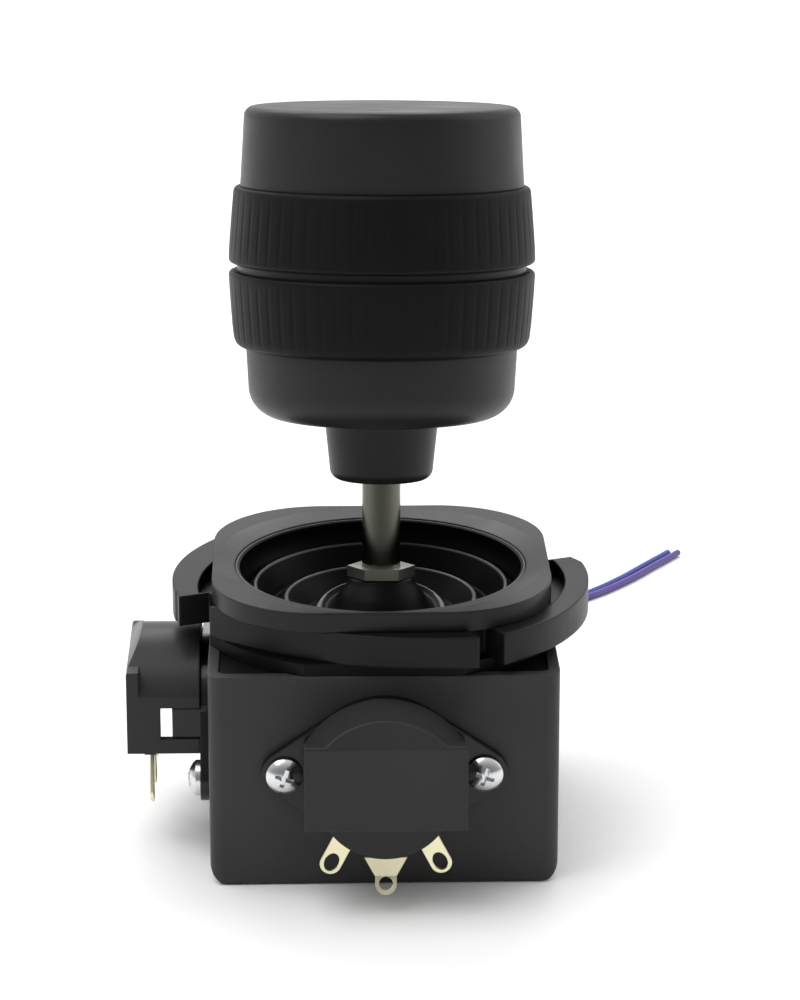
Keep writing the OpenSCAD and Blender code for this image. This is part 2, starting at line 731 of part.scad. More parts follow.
module carriage() {
    pot_end = body_w / 2 + chamber_to - face_gap;
    color("#5c5f62") translate([0, 0, pivot_h]) rotate([-stick_lean, 0, 0]) difference() {
        union() {
            cube([2 * carriage_x, 2 * carriage_y, 2 * carriage_z], center = true);
            rotate([0, 90, 0]) translate([0, 0, -pot_end])
                cylinder(r = axle_r, h = pot_end - carriage_x + 1);
            rotate([0, 90, 0]) translate([0, 0, carriage_x - 1])
                cylinder(r = axle_r, h = body_w / 2 - carriage_x + 1);
            for (s = [-1, 1]) translate([s * (axle_collar_x - 1), 0, 0]) rotate([0, 90, 0])
                cylinder(r = axle_r + 1.2, h = 2, center = true);
        }
        cube([2 * (carriage_x - 2.2), 2 * (hub_r + soft_gap), 3 * carriage_z], center = true);
        rotate([90, 0, 0]) cylinder(r = pin_r + seat_gap / 2, h = 4 * carriage_y, center = true);
    }
}

module cross_pin() {
    color("#b4b7b9") in_stick() rotate([90, 0, 0])
        cylinder(r = pin_r, h = 2 * carriage_y, center = true);
}

// Wiper disc on an axle's end, in a potentiometer's cavity
module wiper() {
    color("#a88a4a") difference() {
        outward_cylinder(chamber_r - face_gap, chamber_from + face_gap, chamber_to - 2 * face_gap);
        outward_cylinder(axle_r + seat_gap / 2, chamber_from, chamber_to);
    }
}

module side_wiper() at_side() wiper();
module front_wiper() at_front() wiper();

// ---- arched bail: tilts side to side on the front and rear bushes ----

module arc_bail() {
    outer = bail_r + bail_t;
    slot_x = 2 * (shaft_r + bail_gap);
    slot_y = 2 * (outer * sin(tilt_travel) + shaft_r / cos(tilt_travel) + face_gap);
    color("#6d6f72") translate([0, 0, pivot_h]) difference() {
        union() {
            intersection() {
                rotate([0, 90, 0]) cylinder(r = outer, h = bail_w, center = true);
                translate([-bail_w, -2 * outer, -2.4]) cube([2 * bail_w, 4 * outer, 2 * outer]);
            }
            for (s = [-1, 1]) rotate([-s * 90, 0, 0]) translate([0, 0, bail_r + 0.4])
                cylinder(r = 3.4, h = bail_boss_y - bail_r - 0.4);
            rotate([90, 0, 0]) translate([0, 0, bail_r + 1])
                cylinder(r = axle_r, h = body_w / 2 + chamber_to - face_gap - bail_r - 1);
            rotate([-90, 0, 0]) translate([0, 0, bail_r + 1])
                cylinder(r = axle_r, h = body_w / 2 - bail_r - 1);
        }
        rotate([0, 90, 0]) cylinder(r = bail_r, h = 2 * bail_w, center = true);
        translate([-slot_x / 2, -slot_y / 2, 3]) cube([slot_x, slot_y, 2 * outer]);
    }
}

// ---- stick: tilts side to side on the cross pin ----

module stick_shaft() {
    color("#6f6f60") in_stick() difference() {
        union() {
            translate([0, 0, -4]) cylinder(r = hub_r, h = 8);
            cylinder(r = shaft_r, h = shaft_top);
        }
        translate([0, 0, 2.2]) cylinder(r = shaft_bore_r, h = knob_top);
        rotate([90, 0, 0]) cylinder(r = pin_r + run_fit, h = 4 * hub_r, center = true);
    }
}

module boot_nut() {
    color("#b9b9a8") in_stick() translate([0, 0, boot_nut_at])
        hex_nut(boot_nut_w, boot_nut_h, shaft_r + seat_gap);
}

module knob_nut() {
    color("#b9bcbd") in_stick() translate([0, 0, cup_floor]) hex_nut(8, knob_nut_h, shaft_r + seat_gap);
}

// Radius of the cup's cavity above the ledge that the twist plate rests on
cup_cavity_r = 13.4;

module knob_cup() {
    cup_edge_r = 4;
    neck_edge_r = 1.5;
    ledge_r = 12.6;
    color("#3c3c3a") in_stick() difference() {
        union() {
            rotate_extrude() {
                translate([0, knob_at]) square([neck_foot_r - neck_edge_r, neck_edge_r + 0.1]);
                translate([neck_foot_r - neck_edge_r, knob_at + neck_edge_r]) intersection() {
                    circle(r = neck_edge_r);
                    translate([-eps, -neck_edge_r]) square([neck_edge_r + 1, neck_edge_r + eps]);
                }
                polygon([[0, knob_at + neck_edge_r], [neck_foot_r, knob_at + neck_edge_r],
                    [neck_top_r, cup_at], [neck_top_r, cup_at + 0.5], [0, cup_at + 0.5]]);
                translate([0, cup_at]) square([cup_r - 0.3 - cup_edge_r, cup_edge_r + 0.1]);
                translate([cup_r - 0.3 - cup_edge_r, cup_at + cup_edge_r]) intersection() {
                    circle(r = cup_edge_r);
                    translate([-eps, -cup_edge_r]) square([cup_edge_r + 1, cup_edge_r + eps]);
                }
                polygon([[0, cup_at + cup_edge_r], [cup_r - 0.3, cup_at + cup_edge_r],
                    [cup_r, lower_grip_at], [0, lower_grip_at]]);
            }
            translate([0, 0, lower_grip_at - 0.1]) cylinder(r = core_r, h = grip_h + 0.1);
            translate([0, 0, groove_at]) cylinder(r = groove_floor_r, h = groove_w - face_gap);
            translate([0, 0, groove_at]) cylinder(r = spigot_r, h = spigot_top - groove_at);
        }
        cylinder(r = shaft_r + seat_gap, h = knob_top);
        translate([0, 0, cup_floor]) cylinder(r = ledge_r, h = knob_top);
        translate([0, 0, plate_at]) cylinder(r = cup_cavity_r, h = knob_top);
    }
}

// A fluted rubber band: profile rows of [height, radius], each ring rippled by the flutes
module fluted_band(rows, bore) {
    per_flute = 4;
    sides = per_flute * flutes;
    function ripple(j) = -flute_depth * (0.5 + 0.5 * cos(360 * j / per_flute));
    last = len(rows) - 1;
    outside = [for (row = rows, j = [0:sides - 1]) let (a = 360 * j / sides, r = row[1] + ripple(j))
        [r * cos(a), r * sin(a), row[0]]];
    inside = [for (z = [rows[last][0], rows[0][0]], j = [0:sides - 1]) let (a = 360 * j / sides)
        [bore * cos(a), bore * sin(a), z]];
    polyhedron(concat(outside, inside), grid_faces(len(rows) + 2, sides, true), convexity = 4);
}

grip_bevel = 0.5;

module lower_grip() {
    rows = [[lower_grip_at, cup_r + 0.5], [lower_grip_at + 2.2, grip_r - grip_taper],
        [groove_at - grip_bevel, grip_r], [groove_at, grip_r - grip_bevel]];
    color("#212121") in_stick() fluted_band(rows, core_r + seat_gap);
}

module upper_grip() {
    rows = [[upper_grip_at, grip_r - grip_bevel], [upper_grip_at + grip_bevel, grip_r],
        [cap_at - 0.3, grip_r - grip_taper], [cap_at, grip_r - grip_taper - 0.3]];
    color("#212121") in_stick() fluted_band(rows, core_r + seat_gap);
}

// The twist potentiometer: radius of its body, its threaded bushing and its shaft, its nut, and
// the spring round them
twist_pot_r = 10.5;
twist_bushing_r = 4;
twist_shaft_r = 3;
twist_shaft_at = plate_at - 4.6;
twist_nut_w = 10;
twist_nut_h = 2;
twist_spring_r = 8.5;
twist_spring_h = 4;

module twist_pot() {
    bushing_top = plate_at + plate_t + 3.4;
    color("#3a3d45") in_stick() difference() {
        union() {
            translate([0, 0, twist_pot_at]) cylinder(r = twist_pot_r, h = plate_at - seat_gap - twist_pot_at);
            translate([0, 0, plate_at - 1]) cylinder(r = twist_bushing_r, h = bushing_top - plate_at + 1);
        }
        translate([0, 0, twist_shaft_at - face_gap]) cylinder(r = twist_shaft_r + run_fit, h = knob_top);
    }
}

module twist_plate() {
    color("#9ea1a3") in_stick() translate([0, 0, plate_at]) difference() {
        cylinder(r = cup_cavity_r - seat_gap, h = plate_t);
        translate([0, 0, -eps]) cylinder(r = twist_bushing_r + seat_gap, h = plate_t + 2 * eps);
    }
}

module twist_nut() {
    color("#b9bcbd") in_stick() translate([0, 0, plate_at + plate_t])
        hex_nut(twist_nut_w, twist_nut_h, twist_bushing_r + seat_gap);
}

module twist_spring() {
    color("#8c8f92") in_stick() translate([0, 0, plate_at + plate_t + spring_wire + soft_gap])
        coil(twist_spring_r, twist_spring_h, 4, spring_wire);
}

module knob_cap() {
    skirt_r = spigot_r + run_fit;
    hub_r_out = 5.5;
    color("#3c3c3a") in_stick() difference() {
        union() {
            rotate_extrude() {
                polygon([[0, cap_at], [cap_foot_r, cap_at], [cap_top_r, knob_top - cap_edge_r],
                    [0, knob_top - cap_edge_r]]);
                translate([0, knob_top - cap_edge_r - 0.1])
                    square([cap_top_r - cap_edge_r, cap_edge_r + 0.1]);
                translate([cap_top_r - cap_edge_r, knob_top - cap_edge_r]) intersection() {
                    circle(r = cap_edge_r);
                    translate([-eps, -eps]) square(cap_edge_r + 1);
                }
            }
            translate([0, 0, upper_grip_at]) cylinder(r = core_r, h = grip_h + 0.1);
        }
        translate([0, 0, upper_grip_at - 1]) cylinder(r = skirt_r, h = spigot_top - upper_grip_at + 1.3);
        difference() {
            translate([0, 0, upper_grip_at])
                cylinder(r = spigot_r - 0.5, h = knob_top - cap_t - upper_grip_at);
            translate([0, 0, spigot_top]) cylinder(r = hub_r_out, h = knob_top);
        }
        translate([0, 0, upper_grip_at])
            cylinder(r = twist_shaft_r + seat_gap, h = knob_top - cap_t - upper_grip_at);
    }
}

module twist_shaft() {
    color("#a9a9a0") in_stick() translate([0, 0, twist_shaft_at])
        cylinder(r = twist_shaft_r, h = knob_top - cap_t - twist_shaft_at);
}

housing();
top_frame();
mounting_ring();
boot_bezel();
boot();
bush_left();
bush_right();
bush_front();
bush_rear();
friction_washer();
tilt_spring();
front_pot_case();
front_pot_cover();
front_lug_1();
front_lug_2();
front_lug_3();
front_screw_1();
front_screw_2();
side_pot_case();
side_pot_cover();
side_lug_1();
side_lug_2();
side_lug_3();
side_screw_1();
side_screw_2();
lead_grommet();
lead_blue();
lead_violet();
carriage();
cross_pin();
side_wiper();
arc_bail();
front_wiper();
stick_shaft();
boot_nut();
knob_nut();
knob_cup();
lower_grip();
twist_pot();
twist_plate();
twist_nut();
twist_spring();
knob_cap();
upper_grip();
twist_shaft();
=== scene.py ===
import math

import bpy
import bmesh
from mathutils import Matrix, Vector


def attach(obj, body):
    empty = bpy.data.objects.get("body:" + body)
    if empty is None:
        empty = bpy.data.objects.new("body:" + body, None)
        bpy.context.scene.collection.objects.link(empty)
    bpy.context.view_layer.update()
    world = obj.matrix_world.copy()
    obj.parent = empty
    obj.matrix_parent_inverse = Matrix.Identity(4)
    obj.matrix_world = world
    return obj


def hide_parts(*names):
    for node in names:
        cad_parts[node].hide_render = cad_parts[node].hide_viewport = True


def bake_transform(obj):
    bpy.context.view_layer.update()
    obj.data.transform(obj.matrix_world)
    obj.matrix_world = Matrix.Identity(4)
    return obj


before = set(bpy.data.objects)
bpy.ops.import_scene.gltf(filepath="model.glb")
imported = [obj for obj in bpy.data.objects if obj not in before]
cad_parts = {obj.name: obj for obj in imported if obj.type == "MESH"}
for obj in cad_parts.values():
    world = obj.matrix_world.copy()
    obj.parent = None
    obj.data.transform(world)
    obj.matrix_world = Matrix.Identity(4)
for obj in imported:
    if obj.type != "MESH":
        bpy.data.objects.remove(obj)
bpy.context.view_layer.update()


def aimed(at, target):
    """The rotation of a camera or lamp that looks from one point towards another."""
    return (Vector(target) - Vector(at)).to_track_quat("-Z", "Y").to_euler()


# ---- camera: at the photograph's viewing angle ----

CAMERA_AT = (-0.00918, -0.44721, 0.1878)
CAMERA_TARGET = (0.00253, -0.00007, 0.04393)

camera_data = bpy.data.cameras.new("camera")
camera_data.lens = 131.6
camera_data.clip_start = 0.05
camera = bpy.data.objects.new("camera", camera_data)
bpy.context.collection.objects.link(camera)
bpy.context.scene.camera = camera
camera.location = CAMERA_AT
camera.rotation_euler = aimed(CAMERA_AT, CAMERA_TARGET)

# ---- leads: free cords from the grommet in the rear wall, in metres ----

LEAD_ROUTE = [
    (0.012, 0.020, 0.007), (0.012, 0.025, 0.0065), (0.012, 0.031, 0.0035),
    (0.0125, 0.038, 0.0011), (0.0135, 0.046, 0.0006), (0.015, 0.056, 0.0006),
    (0.018, 0.066, 0.0006), (0.022, 0.074, 0.0006), (0.027, 0.080, 0.0006),
    (0.0345, 0.0865, 0.0006), (0.040, 0.093, 0.0006), (0.0445, 0.0995, 0.0006),
    (0.049, 0.106, 0.0006),
]
LEAD_R = 0.0005
LEAD_SPACING = 0.0016
LEAD_STEPS = 6


def smooth_route(route, steps):
    """Points on a smooth curve through the route, with this many steps between its points."""
    last = len(route) - 1
    points = []
    for i in range(last):
        a, b, c, d = (Vector(route[k]) for k in (max(i - 1, 0), i, i + 1, min(i + 2, last)))
        for k in range(steps):
            t = k / steps
            points.append(0.5 * (2 * b + (c - a) * t + (2 * a - 5 * b + 4 * c - d) * t * t
                                 + (3 * b - a - 3 * c + d) * t ** 3))
    points.append(Vector(route[last]))
    return points


def make_lead(name, node, shift):
    """A round cord along the route, shifted to the right."""
    points = smooth_route([(x + shift, y, z) for x, y, z in LEAD_ROUTE], LEAD_STEPS)
    curve = bpy.data.curves.new(name, "CURVE")
    curve.dimensions = "3D"
    # the points hold the radius, because a curve's bounds grow by the radius of its points
    curve.bevel_depth = 1
    curve.bevel_resolution = 5
    curve.use_fill_caps = True
    spline = curve.splines.new("POLY")
    spline.points.add(len(points) - 1)
    for point, p in zip(spline.points, points):
        point.co = (p.x, p.y, p.z, 1)
        point.radius = LEAD_R
    obj = bpy.data.objects.new(name, curve)
    bpy.context.collection.objects.link(obj)
    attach(obj, "base")
    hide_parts(node)
    return obj


blue_lead = make_lead("blue_lead", "lead_blue", -LEAD_SPACING / 2)
violet_lead = make_lead("violet_lead", "lead_violet", LEAD_SPACING / 2)

# ---- sizes shared with the solids, in millimetres ----

MM = 0.001
PIVOT_Z = 15.5
LEAN_DEG = 9
LEAN = math.radians(LEAN_DEG)
SIDE_LEAN = math.radians(0.45)
STICK = (Matrix.Translation((0, 0, PIVOT_Z * MM)) @ Matrix.Rotation(-LEAN, 4, "X")
         @ Matrix.Rotation(SIDE_LEAN, 4, "Y"))
HOUSING_HALF = 22
BEZEL_TOP = 36.2

# ---- mesh helpers ----

CRISP = 35
RUBBER_CRISP = 50


def new_object(name, vertices, faces, crisp):
    """A closed mesh whose edges above the crisp angle, in degrees, stay sharp."""
    mesh = bpy.data.meshes.new(name)
    mesh.from_pydata([tuple(v) for v in vertices], [], faces)
    bm = bmesh.new()
    bm.from_mesh(mesh)
    bmesh.ops.recalc_face_normals(bm, faces=bm.faces)
    bm.to_mesh(mesh)
    bm.free()
    mesh.polygons.foreach_set("use_smooth", [True] * len(mesh.polygons))
    mesh.set_sharp_from_angle(angle=math.radians(crisp))
    obj = bpy.data.objects.new(name, mesh)
    bpy.context.collection.objects.link(obj)
    return obj


def ring_grid(name, rings, crisp=CRISP):
    """A closed skin over rings of points, joined round both ways."""
    sides = len(rings[0])
    vertices = [p for ring in rings for p in ring]
    faces = []
    for i in range(len(rings)):
        a, b = i * sides, ((i + 1) % len(rings)) * sides
        for j in range(sides):
            k = (j + 1) % sides
            faces.append((a + j, a + k, b + k, b + j))
    return new_object(name, vertices, faces, crisp)


# ---- boot: one ribbed rubber moulding, drawn flank by flank ----

BOOT_SIDES = 144
BOOT_T = 0.6
BOOT_BORE_R = 2.75
# corners of the folds, and of the outer wall, are cut back this far and turned into curves
ROUNDING = 0.35
WALL_ROUNDING = 0.5
# how far the innermost fold hangs below its valley, to overlap the bell there
SKIRT = 1.2
# distance of the collar's top from the tilt axis, along the stick
COLLAR_TOP = 17.3


# A ring of the boot holds its radius, its height, its shift to the right and to the back, and its
# tilt in degrees.


def level_ring(radius, z):
    return (radius, z, 0, 0, 0)


def stick_ring(radius, along):
    """A ring square to the stick, at a distance from the tilt axis."""
    return (radius, PIVOT_Z + along * math.cos(LEAN), along * math.sin(SIDE_LEAN),
            along * math.sin(LEAN), LEAN_DEG)


# from the edge inwards
EDGE = level_ring(18.74, BEZEL_TOP - 1.0)
VALLEY_1 = level_ring(17.4, BEZEL_TOP - 4.9)
RIDGE_1 = (16.2, BEZEL_TOP - 3.5, 0, 0.3, 0)
VALLEY_2 = (14.2, BEZEL_TOP - 6.9, 0, 0.5, 0)
RIDGE_2 = (12.2, BEZEL_TOP - 5.5, 0, 0.8, 0)
VALLEY_3 = (9.6, BEZEL_TOP - 7.75, 0, 1.2, 4.5)
# the bell round the stick: a last ridge, raised at the back, then a cone up to the nut
RIDGE_3 = (8.0, BEZEL_TOP - 7.2, 0.1, 1.6, -9)
COLLAR_FOOT = stick_ring(4.3, 16.7)
BELL = [
    (7.1, BEZEL_TOP - 7.7, 0.1, 1.7, -8), (6.3, BEZEL_TOP - 7.0, 0.1, 1.9, -4),
    (5.3, BEZEL_TOP - 5.4, 0.1, 2.2, 3), COLLAR_FOOT, stick_ring(4.05, COLLAR_TOP),
    stick_ring(BOOT_BORE_R, COLLAR_TOP),
]
# back along the bell's underside
BELL_HEEL = [
    stick_ring(BOOT_BORE_R, 16.4), stick_ring(4.6, 15.0), (6.8, BEZEL_TOP - 8.4, 0.1, 1.7, -8),
]
# each fold between base and carriage: its two ends, and the share of the turn that each takes
FOLDS = [
    ("boot_fold_1", VALLEY_1, RIDGE_1, 0.0, 0.1),
    ("boot_fold_2", RIDGE_1, VALLEY_2, 0.1, 0.33),
    ("boot_fold_3", VALLEY_2, RIDGE_2, 0.33, 0.6),
]


def mixed(a, b, t):
    return tuple(x + (y - x) * t for x, y in zip(a, b))


def level(key, other, width):
    """The point beside a key, towards another, that is still at the key's height."""
    point = mixed(key, other, width / math.dist(key[:1], other[:1]))
    return (point[0], key[1], *point[2:])


def rounded_path(keys, cut, steps=5):
    """The path through the keys, with each inner corner turned into a curve."""
    path = [keys[0]]
    for before, key, after in zip(keys, keys[1:], keys[2:]):
        start = mixed(key, before, min(0.5, cut / math.dist(before[:2], key[:2])))
        end = mixed(key, after, min(0.5, cut / math.dist(key[:2], after[:2])))
        for i in range(steps + 1):
            t = i / steps
            path.append(mixed(mixed(start, key, t), mixed(key, end, t), t))
    path.append(keys[-1])
    return path


def boot_points(ring, drop=0.0):
    """The points of a boot ring, in metres, let down by a drop in millimetres."""
    radius, z, dx, dy, tilt = ring
    tilt = math.radians(tilt)
    points = []
    for j in range(BOOT_SIDES):
        a = 2 * math.pi * j / BOOT_SIDES
        s = radius * math.sin(a)
        points.append(Vector((dx + radius * math.cos(a), dy + s * math.cos(tilt),
                              z - drop - s * math.sin(tilt))) * MM)
    return points


def fold(name, path, skirt=0.0):
    """A thin closed ring of rubber under a path, its lower end let down by a skirt."""
    top = [boot_points(ring) for ring in path]
    under = [boot_points(ring, BOOT_T) for ring in path[::-2]]
    if skirt:
        low = path[-1] if path[-1][1] < path[0][1] else path[0]
        tail = [boot_points(low, skirt)]
        top, under = (top + tail, under[1:]) if low is path[-1] else (tail + top, under[:-1])
    return ring_grid(name, top + under, RUBBER_CRISP)


def flank(name, a, b, crest=0.2, skirt=0.0):
    """One side of a fold, from the middle of a ridge to the middle of a valley."""
    keys = [a, level(a, b, crest), level(b, a, crest), b]
    return fold(name, rounded_path(keys, ROUNDING), skirt)


def bend(obj):
    """Bake a flank's placement into its mesh; it is not bent here.
    """

    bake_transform(obj)


lip = [level_ring(18.2, EDGE[1] - 0.1), level_ring(18.5, EDGE[1] + 0.12),
       level_ring(18.68, EDGE[1] + 0.1)]
wall = [EDGE, level_ring(18.1, BEZEL_TOP - 3.6), level(VALLEY_1, EDGE, 0.15), VALLEY_1]
boot_pieces = [fold("boot_edge", lip + rounded_path(wall, WALL_ROUNDING))]
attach(boot_pieces[0], "base")

for name, outer, inner, weight_outer, weight_inner in FOLDS:
    piece = flank(name, outer, inner)
    bend(piece)
    boot_pieces.append(piece)

piece = flank("boot_fold_4", RIDGE_2, VALLEY_3, skirt=SKIRT)
bend(piece)
boot_pieces.append(piece)

bell_path = rounded_path([VALLEY_3, level(VALLEY_3, RIDGE_3, 0.3), RIDGE_3, *BELL], ROUNDING, 4)
piece = ring_grid("boot_bell", [boot_points(VALLEY_3, SKIRT)]
                  + [boot_points(ring) for ring in bell_path + BELL_HEEL], RUBBER_CRISP)
bend(piece)
boot_pieces.append(piece)
for piece in boot_pieces:
    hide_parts("boot")

# the faces of a crest, which get the painted highlight, lie this near to the ridge's plane and to
# its radius, and face this much up
CREST_H = 0.16
CREST_W = 0.3
CREST_FACING = 0.3


def paint_crest_highlight(piece, ring):
    """Give the faces along a fold's crest a lighter colour: a painted highlight along the crest.
    """
    radius, z, dx, dy, tilt = ring
    tilt = math.radians(tilt)
    normal = Vector((0, math.sin(tilt), math.cos(tilt)))
    centre = Vector((dx, dy, z)) * MM
    for polygon in piece.data.polygons:
        at = polygon.center - centre
        up = at.dot(normal)
        out = (at - normal * up).length
        if (abs(up) < CREST_H * MM and abs(out - radius * MM) < CREST_W * MM
                and polygon.normal.dot(normal) > CREST_FACING):
            polygon.material_index = 1


# ---- grips: two fluted rubber bands round the knob ----

FLUTES = 60
FLUTE_DEPTH = 0.07
FLUTE_W = 0.3
PER_FLUTE = 10
# the flutes start this far from a rim, and reach their full depth over this height
FLUTE_RIM = 0.5
FLUTE_FADE = 1.2
CORE_R = 17.25
GRIP_ROUNDING = 0.25
# height along the stick, and radius
LOWER_GRIP = [
    (47.6, 18.2), (48.0, 18.75), (48.7, 19.05), (50.5, 19.25), (53, 19.45), (55.2, 19.6),
    (57.0, 19.7), (57.35, 19.4),
]
UPPER_GRIP = [
    (58.35, 19.4), (58.7, 19.7), (60.6, 19.62), (62.8, 19.46), (65.2, 19.27), (67.7, 19.05),
    (68.1, 18.75),
]


def grip_profile(rows):
    """Rows of height, radius and share of the flutes' depth, with softly turned corners."""
    low, high = rows[0][0], rows[-1][0]
    keys = [(CORE_R, low)] + [(radius, height) for height, radius in rows] + [(CORE_R, high)]
    profile = []
    for radius, height in rounded_path(keys, GRIP_ROUNDING, 3):
        share = min(1.0, max(0.0, (height - low - FLUTE_RIM) / FLUTE_FADE),
                    max(0.0, (high - FLUTE_RIM - height) / FLUTE_FADE))
        profile.append((height, radius, share))
    return profile


def make_grip(name, node, body, rows):
    """A band round the knob, with flutes that fade out towards both rims."""
    count = FLUTES * PER_FLUTE
    rings = []
    for height, radius, share in grip_profile(rows):
        ring = []
        for j in range(count):
            a = 2 * math.pi * j / count
            # distance round the band from the nearest flute's middle
            off = (j % PER_FLUTE) * 2 * math.pi * radius / count
            pitch = 2 * math.pi * radius / FLUTES
            off = min(off, pitch - off)
            r = radius - FLUTE_DEPTH * share * math.exp(-(off / FLUTE_W) ** 2 * 2)
            ring.append(STICK @ (Vector((r * math.cos(a), r * math.sin(a), height)) * MM))
        rings.append(ring)
    obj = ring_grid(name, rings)
    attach(obj, body)
    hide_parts(node)
    return obj


lower_grip = make_grip("lower_grip_band", "lower_grip", "stick", LOWER_GRIP)
upper_grip = make_grip("upper_grip_band", "upper_grip", "knob_top", UPPER_GRIP)

# ---- solder lugs: pressed brass blades with an eye ----

LUG_W = 2.7
LUG_T = 0.5
LUG_D = 7.7
LUG_PITCH = 5.2
LUG_SEAT = 1.8
LUG_EDGE = 0.09
FRONT_LUG_LEN = 5.0
SIDE_LUG_LEN = 7.0
SIDE_ROOT = -3.3
SPLAY = 27
POT_R = 8.4
# the front potentiometer's middle lug is bent forward this far down, by this angle
BEND_DROP = 2.6
BEND = 35
# places of the two potentiometers, with the lengths still in millimetres
FRONT = Matrix.Translation((0, -HOUSING_HALF, PIVOT_Z))
SIDE = Matrix.Rotation(math.radians(-90), 4, "Z") @ FRONT
# where an outer lug leaves the round body
OUTER_ROOT = -math.sqrt(POT_R ** 2 - (LUG_PITCH + LUG_W / 4) ** 2)


def turned(points, degrees):
    c, s = math.cos(math.radians(degrees)), math.sin(math.radians(degrees))
    return [(x * c - y * s, x * s + y * c) for x, y in points]


def arc(y, rx, ry, first, last, count):
    """Points on an ellipse about (0, y), between two angles in degrees."""
    return [(rx * math.cos(math.radians(a)), y + ry * math.sin(math.radians(a)))
            for a in (first + (last - first) * k / count for k in range(count + 1))]


def eye_outline(y, rx, ry):
    return arc(y, rx, ry, 0, 345, 23)


def blade(length):
    """A lug's hanging part: half its width, the centre of its round end, that end and its eye."""
    half, end = LUG_W / 2, LUG_W / 2 - length
    return half, end, arc(end, half, half, 180, 360, 20), eye_outline(end + 0.3, 0.88, 1.2)


def hung(place, across, root, turn=90):
    """The place of a flat plate that hangs from its root, with its outline's y upwards."""
    return (place @ Matrix.Translation((across, -LUG_D, root))
            @ Matrix.Rotation(math.radians(turn), 4, "X"))


def flat_plate(name, node, outline, holes, matrix):
    """A pressed plate with softened edges, from outlines in millimetres."""
    bm = bmesh.new()
    for loop in [outline, *holes]:
        corners = [bm.verts.new((x * MM, y * MM, 0)) for x, y in loop]
        for k in range(len(corners)):
            bm.edges.new((corners[k - 1], corners[k]))
    bmesh.ops.triangle_fill(bm, use_beauty=True, edges=bm.edges[:])
    mesh = bpy.data.meshes.new(name)
    bm.to_mesh(mesh)
    bm.free()
    placed = Matrix(matrix)
    placed.translation *= MM
    mesh.transform(placed)
    obj = bpy.data.objects.new(name, mesh)
    bpy.context.collection.objects.link(obj)
    thick = obj.modifiers.new("thickness", "SOLIDIFY")
    thick.thickness = LUG_T * MM
    thick.offset = 0
    pressed = obj.modifiers.new("pressed_edge", "BEVEL")
    pressed.width = LUG_EDGE * MM
    pressed.segments = 2
    pressed.limit_method = "ANGLE"
    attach(obj, "base")
    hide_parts(node)
    return obj


def lug(name, node, place, i, root, length):
    """A lug at one of the three places, -1, 0 and 1. The outer ones splay below their roots."""
    half, _, tip, eye = blade(length)
    if i == 0:
        outline = [(-half, LUG_SEAT), *tip, (half, LUG_SEAT)]
    else:
        outline = [(-half, LUG_SEAT), (-half, 0.35)]
        outline += turned([(-half, -0.6), *tip, (half, -0.1)], -SPLAY)
        outline += [(half, -0.5), (half, LUG_SEAT)]
        eye = turned(eye, -SPLAY)
        if i > 0:
            outline, eye = ([(-x, y) for x, y in loop] for loop in (outline, eye))
    return flat_plate(name, node, outline, [eye], hung(place, i * LUG_PITCH, root))


front_lugs = [
    lug("front_lug_left", "front_lug_1", FRONT, -1, OUTER_ROOT, FRONT_LUG_LEN),
    lug("front_lug_right", "front_lug_3", FRONT, 1, OUTER_ROOT, FRONT_LUG_LEN),
]
side_lugs = [
    lug("side_lug_rear", "side_lug_1", SIDE, -1, SIDE_ROOT, SIDE_LUG_LEN),
    lug("side_lug_middle", "side_lug_2", SIDE, 0, SIDE_ROOT, SIDE_LUG_LEN),
    lug("side_lug_front", "side_lug_3", SIDE, 1, SIDE_ROOT, SIDE_LUG_LEN),
]
lug_half, lug_end, lug_tip, _ = blade(FRONT_LUG_LEN - BEND_DROP)
middle_root = flat_plate("front_lug_middle_root", "front_lug_2", [
    (-lug_half, LUG_SEAT), (-lug_half, 0), (-LUG_W, 0), (-lug_half, -BEND_DROP),
    (lug_half, -BEND_DROP), (LUG_W, 0), (lug_half, 0), (lug_half, LUG_SEAT),
], [], hung(FRONT, 0, -POT_R))
middle_end = flat_plate("front_lug_middle_end", "front_lug_2", [
    (-lug_half, 0.15), *lug_tip, (lug_half, 0.15),
], [eye_outline(lug_end + 0.1, 0.85, 0.85)], hung(FRONT, 0, -POT_R - BEND_DROP, 90 - BEND))

# ---- materials ----


def node_of(owner, kind, **values):
    node = owner.node_tree.nodes.new(kind)
    for key, value in values.items():
        setattr(node, key, value)
    return node


def set_inputs(node, values):
    for socket, value in values.items():
        node.inputs[socket].default_value = value


def joined(owner, a, out, b, into):
    owner.node_tree.links.new(a.outputs[out], b.inputs[into])


def noise_of(owner, source, out, values):
    """A noise texture on the coordinates that come from a node's output."""
    noise = node_of(owner, "ShaderNodeTexNoise")
    set_inputs(noise, values)
    joined(owner, source, out, noise, "Vector")
    return noise


def range_of(owner, source, out, first, last, low, high, **values):
    """A node that maps the range first to last of a node's output to the range low to high."""
    span = node_of(owner, "ShaderNodeMapRange", **values)
    set_inputs(span, {"From Min": first, "From Max": last, "To Min": low, "To Max": high})
    joined(owner, source, out, span, "Value")
    return span


